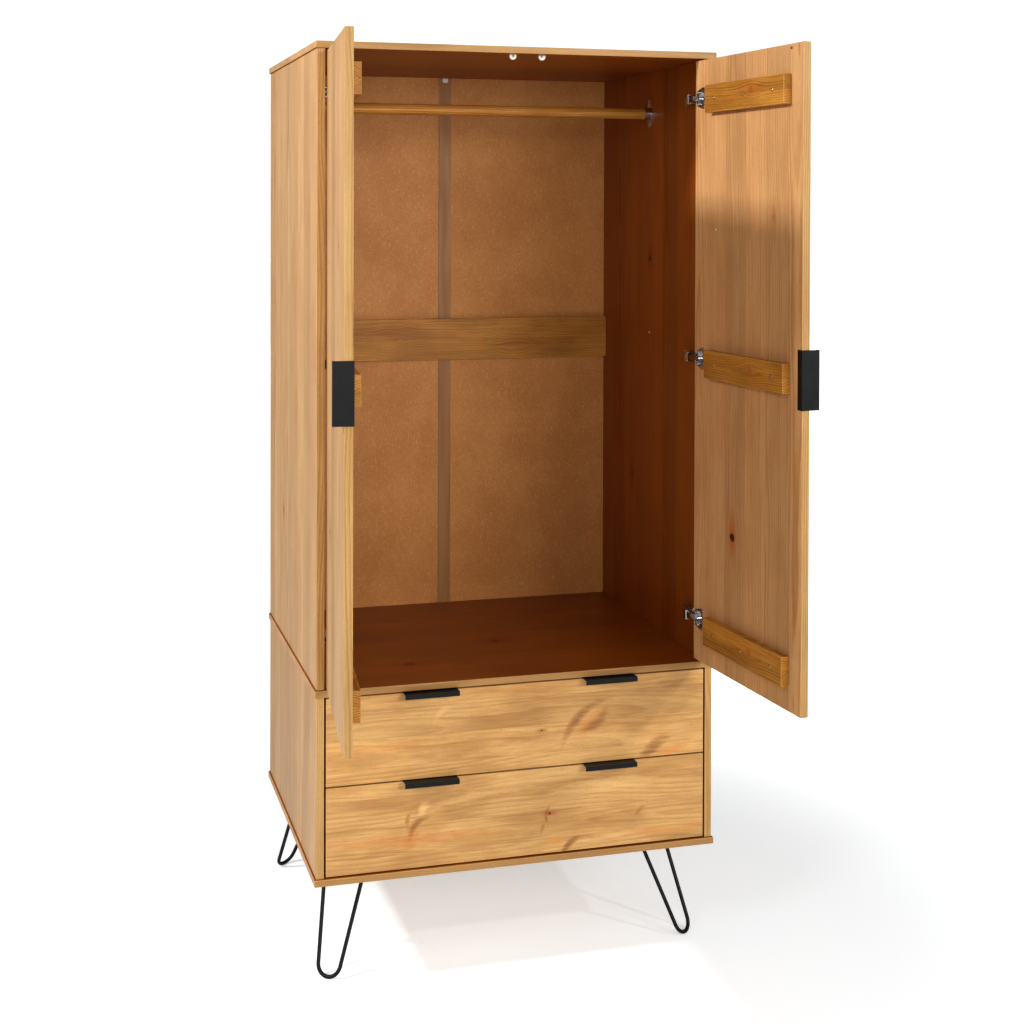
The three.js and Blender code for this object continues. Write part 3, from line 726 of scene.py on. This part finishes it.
# Where the screws stand along a door's batten, as shares of its length.
BATTEN_SCREWS = (0.13, 0.5, 0.865)


def add_screw(name, place, outwards, radius, material, body):
    """A screw seen by its head, set on a face."""
    if radius not in SCREWS:
        SCREWS[radius] = screw_head(radius)
    mesh = SCREWS[radius].copy()
    mesh.transform(frame_at(place, outwards))
    add_piece(name, mesh, material, body)


def rounded_plate(name, outline, thickness, bevel):
    """A flat plate with its outline in x and y, standing on z = 0, its edges rounded."""
    build = bmesh.new()
    floor = build.faces.new([build.verts.new((x, y, 0)) for x, y in outline])
    raised = bmesh.ops.extrude_face_region(build, geom=[floor])
    tops = [e for e in raised["geom"] if isinstance(e, bmesh.types.BMVert)]
    bmesh.ops.translate(build, verts=tops, vec=(0, 0, thickness))
    bmesh.ops.recalc_face_normals(build, faces=build.faces)
    sharp = [e for e in build.edges if e.calc_face_angle(0) > math.radians(40)]
    bmesh.ops.bevel(build, geom=sharp, offset=bevel, segments=2, affect="EDGES", profile=0.5)
    mesh = bpy.data.meshes.new(name)
    build.to_mesh(mesh)
    build.free()
    return mesh


def screw_battens():
    """Three screws along each batten on the doors' inner faces."""
    for side in HANDS:
        outwards, inwards = door_axes(side)
        for level in LEVELS:
            node = f"{side}_door_batten_{level}"
            low, high = span(node, (outwards, inwards, Z))
            for number, share in enumerate(BATTEN_SCREWS):
                along = low.x + share * (high.x - low.x)
                place = outwards * along + inwards * high.y + Z * (low.z + high.z) / 2
                name = f"{side}_batten_screw_{level}_{number + 1}"
                add_screw(name, place, inwards, 3.6 * MM, BRASS, f"{side}_door")


def detail_hinges():
    """The screws of each hinge's cup and arm, and the links that the CAD leaves to be shown."""
    flange_inset, ear_inset = 4 * MM, 3.8 * MM
    plate_thickness, plate_screw_depth, plate_screw_gap = 2 * MM, 18 * MM, 18.5 * MM
    arm_height, set_screw_depths = 15 * MM, (38 * MM, 48 * MM)
    for side, sign in HANDS.items():
        outwards, inwards = door_axes(side)
        link = f"{side}_hinge_link_middle"
        link_height = sum(v.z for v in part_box(link)) / 2
        for level in LEVELS:
            cup = f"{side}_hinge_cup_{level}"
            low, high = span(cup, (outwards, inwards, Z))
            height = (low.z + high.z) / 2
            for number, way in enumerate((-1, 1)):
                far = outwards * (high.x - flange_inset) + inwards * high.y
                place = far + Z * (height + way * (high.z - height - ear_inset))
                add_screw(f"{cup}_screw_{number + 1}", place, inwards, 3.0 * MM, NICKEL, f"{side}_door")

            arm = f"{side}_hinge_arm_{level}"
            low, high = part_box(arm)
            wall = high.x if sign > 0 else low.x
            inboard = -sign * X
            plate = wall - sign * plate_thickness
            for number, way in enumerate((-1, 1)):
                place = Vector((plate, low.y + plate_screw_depth, height + way * plate_screw_gap))
                add_screw(f"{arm}_plate_screw_{number + 1}", place, inboard, 3.2 * MM, NICKEL, "carcass")
            for number, along in enumerate(set_screw_depths):
                place = Vector((wall - sign * arm_height, low.y + along, height))
                add_screw(f"{arm}_set_screw_{number + 1}", place, inboard, 2.6 * MM, NICKEL, "carcass")

            if level != "middle":
                mesh = nodes[link].data.copy()
                mesh.materials.clear()
                mesh.transform(Matrix.Translation(Z * (height - link_height)))
                name = f"{side}_hinge_link_{level}"
                add_piece(name, mesh, NICKEL, f"{side}_hinge_links")


def add_catches():
    """Two white stops under the top's front edge, each with a screw, and a disc on each door."""
    low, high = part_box("top_panel")
    radius, drop, thickness = 7.5 * MM, 10.5 * MM, 5 * MM
    behind_front = 28 * MM
    strike_inset, strike_drop = 40 * MM, 8 * MM
    arc = [math.pi + math.pi * k / 16 for k in range(17)]
    outline = [(radius * math.cos(a), radius - drop + radius * math.sin(a)) for a in arc]
    outline += [(radius, 0.0), (-radius, 0.0)]
    for name, x in (("left", -14 * MM), ("right", 48 * MM)):
        front = Vector((x, low.y + behind_front, low.z))
        mesh = rounded_plate(f"stop_{name}", outline, thickness, 0.8 * MM)
        mesh.transform(frame_at(front, -Y))
        add_piece(f"door_stop_{name}", mesh, WHITE, "carcass")
        place = front + Vector((0, -thickness, -3.4 * MM))
        add_screw(f"door_stop_screw_{name}", place, -Y, 2.6 * MM, BRASS, "carcass")
    for side in HANDS:
        outwards, inwards = door_axes(side)
        low, high = span(f"{side}_door", (outwards, inwards, Z))
        corner = outwards * high.x + inwards * high.y + Z * high.z
        place = corner - outwards * strike_inset - Z * strike_drop
        profile = [(0, 0), (3 * MM, 0), (3 * MM, 0.5 * MM), (2.3 * MM, 0.9 * MM), (0, 1.0 * MM)]
        mesh = turned(profile, 24, "strike")
        mesh.transform(frame_at(place, inwards))
        add_piece(f"{side}_door_strike", mesh, DARK, f"{side}_door")


def add_covers():
    """A small white cover inside each side, and one on each door below its top batten."""
    below_rail, below_batten, past_hinge_end = 498 * MM, 267 * MM, 18 * MM
    profile = [(0, 0), (2.6 * MM, 0), (2.4 * MM, 0.5 * MM), (1.4 * MM, 0.8 * MM), (0, 0.9 * MM)]
    for side, sign in HANDS.items():
        outwards, inwards = door_axes(side)
        socket_low, socket_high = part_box(f"rail_socket_{side}")
        side_low, side_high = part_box(f"upper_side_{side}")
        wall = side_low.x if sign > 0 else side_high.x
        depth = (socket_low.y + socket_high.y) / 2
        height = (socket_low.z + socket_high.z) / 2 - below_rail
        _, door_high = span(f"{side}_door", (outwards, inwards, Z))
        low, high = span(f"{side}_door_batten_top", (outwards, inwards, Z))
        below = (low.z + high.z) / 2 - below_batten
        on_door = outwards * (low.x + past_hinge_end) + inwards * door_high.y + Z * below
        covers = {
            f"side_cover_{side}": (Vector((wall, depth, height)), -sign * X, "carcass"),
            f"{side}_door_cover": (on_door, inwards, f"{side}_door"),
        }
        for name, (place, facing, body) in covers.items():
            mesh = turned(profile, 20, "cover")
            mesh.transform(frame_at(place, facing))
            add_piece(name, mesh, WHITE, body)


def detail_back():
    """The strip's clip, the sockets' screws and the back's nails."""
    clip_drop = 6 * MM
    socket_plate, socket_screw_gap = 2 * MM, 25 * MM
    nail_inset, nail_spacing = 4 * MM, 0.15
    low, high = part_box("back_joint_strip")
    middle = (low.x + high.x) / 2
    outline = [(-7, -3), (-5, -5), (5, -5), (7, -3), (7, 3), (5, 5), (-5, 5), (-7, 3)]
    clip = rounded_plate("clip", [(x * MM, y * MM) for x, y in outline], 3 * MM, 0.6 * MM)
    clip.transform(frame_at(Vector((middle, low.y, high.z - clip_drop)), -Y))
    add_piece("back_strip_clip", clip, WHITE, "carcass")

    for side, sign in HANDS.items():
        low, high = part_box(f"rail_socket_{side}")
        wall = high.x if sign > 0 else low.x
        centre = (low.z + high.z) / 2
        for number, way in enumerate((-1, 1)):
            across = wall - sign * socket_plate
            place = Vector((across, (low.y + high.y) / 2, centre + way * socket_screw_gap))
            name = f"rail_socket_screw_{side}_{number + 1}"
            add_screw(name, place, -sign * X, 3.0 * MM, NICKEL, "carcass")

    profile = [(0, 0), (2.4 * MM, 0), (2.2 * MM, 0.5 * MM), (1.2 * MM, 0.8 * MM), (0, 0.9 * MM)]
    nail = turned(profile, 16, "nail")
    columns = {
        "upper_back_left": ("left",),
        "upper_back_right": ("right",),
        "lower_back_panel": ("left", "right"),
    }
    for sheet, edges in columns.items():
        low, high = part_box(sheet)
        rows = int((high.z - low.z) / nail_spacing)
        gap = (high.z - low.z) / rows
        for edge in edges:
            x = low.x + nail_inset if edge == "left" else high.x - nail_inset
            for row in range(rows):
                mesh = nail.copy()
                place = Vector((x, high.y, low.z + gap * (row + 0.5)))
                mesh.transform(frame_at(place, Y))
                add_piece(f"{sheet}_nail_{edge}_{row + 1}", mesh, NICKEL, "carcass")


def screw_legs():
    """Four screws up through each leg's plate, which is turned out towards its corner."""
    turn = math.radians(35)
    thickness = 3 * MM
    holes = ((-30, -12), (30, -12), (-16, 10), (16, 10))
    for end in ("front", "rear"):
        for side, sign in HANDS.items():
            _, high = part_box(f"{end}_leg_{side}")
            facing = -1 if end == "front" else 1
            along = Vector((math.cos(turn), -sign * facing * math.sin(turn), 0))
            lean = Vector((sign * math.sin(turn), facing * math.cos(turn), 0))
            plate = [v.co for v in nodes[f"{end}_leg_{side}"].data.vertices if v.co.z > high.z - 1e-5]
            centre = sum(plate, Vector()) / len(plate)
            for number, (a, b) in enumerate(holes):
                place = centre + along * a * MM + lean * b * MM - Z * thickness
                add_screw(f"{end}_leg_{side}_screw_{number + 1}", place, -Z, 3.4 * MM, NICKEL, "carcass")


# ---------------------------------------------------------------- surroundings

def make_floor():
    """A pale studio floor, far larger than the wardrobe, that fades into the white backdrop."""
    half = 14.0
    mesh = bpy.data.meshes.new("floor")
    corners = [(-half, -half, 0), (half, -half, 0), (half, half, 0), (-half, half, 0)]
    mesh.from_pydata(corners, [], [(0, 1, 2, 3)])
    floor = bpy.data.objects.new("floor", mesh)
    bpy.context.scene.collection.objects.link(floor)
    material, t, shader = new_material("floor")
    here = t.add("ShaderNodeTexCoord").outputs["Object"]
    haze = t.noise(here, scale=3.0, detail=2.0)
    t.feed(shader["Base Color"], t.mix(haze, srgb(240, 244, 247), srgb(235, 240, 244)))
    t.feed(shader["Roughness"], t.ramp(haze, 0.3, 0.7, False, (0.35, 0.42)))
    seen = t.add("ShaderNodeLightPath").outputs["Is Camera Ray"]
    glow = t.ramp(t.vector("LENGTH", here), 0.75, 2.1, out=(0.44, 1.2))
    shader["Emission Color"].default_value = (1, 1, 1, 1)
    t.feed(shader["Emission Strength"], t.math("MULTIPLY", glow, seen))
    mesh.materials.append(material)


def add_light(name, place, target, size, power):
    light = bpy.data.lights.new(name, "AREA")
    light.shape = "RECTANGLE"
    light.size, light.size_y = size
    light.energy = power
    lamp = bpy.data.objects.new(name, light)
    lamp.location = place
    lamp.rotation_mode = "QUATERNION"
    lamp.rotation_quaternion = (Vector(target) - Vector(place)).to_track_quat("-Z", "Y")
    bpy.context.scene.collection.objects.link(lamp)


def make_light():
    """A dim room with a white backdrop. A small lamp high on the left rakes over the left door's
    top; broad ones stand to the left and on both sides in front; a small one is on the right."""
    world = bpy.data.worlds.new("studio")
    world.use_nodes = True
    t = Tree(world.node_tree)
    seen = t.add("ShaderNodeLightPath").outputs["Is Camera Ray"]
    background = world.node_tree.nodes["Background"].inputs
    background["Color"].default_value = (1, 1, 1, 1)
    t.feed(background["Strength"], t.ramp(seen, 0.0, 1.0, False, (0.2, 1.1)))
    bpy.context.scene.world = world
    add_light("raking", (-3.5, -0.45, 3.05), (0, -0.2, 1.2), (0.35, 0.25), 120)
    add_light("left", (-2.6, -1.9, 2.9), (0, -0.2, 1.5), (1.0, 1.2), 26)
    add_light("front", (1.7, -4.1, 2.1), (0, 0, 1.0), (1.8, 1.8), 86)
    add_light("fill", (-1.1, -4.4, 1.9), (0, 0, 1.1), (1.2, 1.2), 42)
    add_light("right", (2.53, -2.45, 2.6), (-0.3, 0.4, 1.6), (0.2, 0.2), 30)
    view = bpy.context.scene.view_settings
    view.view_transform = "Standard"
    view.gamma = 0.88


def make_camera():
    """Stands to the left of the wardrobe's middle and a little above its own middle height."""
    data = bpy.data.cameras.new("camera")
    data.lens = 52.82
    data.sensor_width = 36.0
    data.shift_x = 0.0875
    data.shift_y = -0.2786
    camera = bpy.data.objects.new("camera", data)
    yaw, pitch, roll = (math.radians(angle) for angle in (14.48, -0.611, 0.123))
    tilt = Matrix.Rotation(math.pi / 2 + pitch, 4, "X")
    aim = Matrix.Rotation(-yaw, 4, "Z") @ tilt @ Matrix.Rotation(roll, 4, "Z")
    camera.matrix_world = Matrix.Translation((-0.95519, -2.99558, 1.53953)) @ aim
    bpy.context.scene.collection.objects.link(camera)
    bpy.context.scene.camera = camera


make_camera()
dress_carcass()
dress_doors()
dress_drawers()
screw_battens()
detail_hinges()
add_catches()
add_covers()
detail_back()
screw_legs()
make_floor()
make_light()
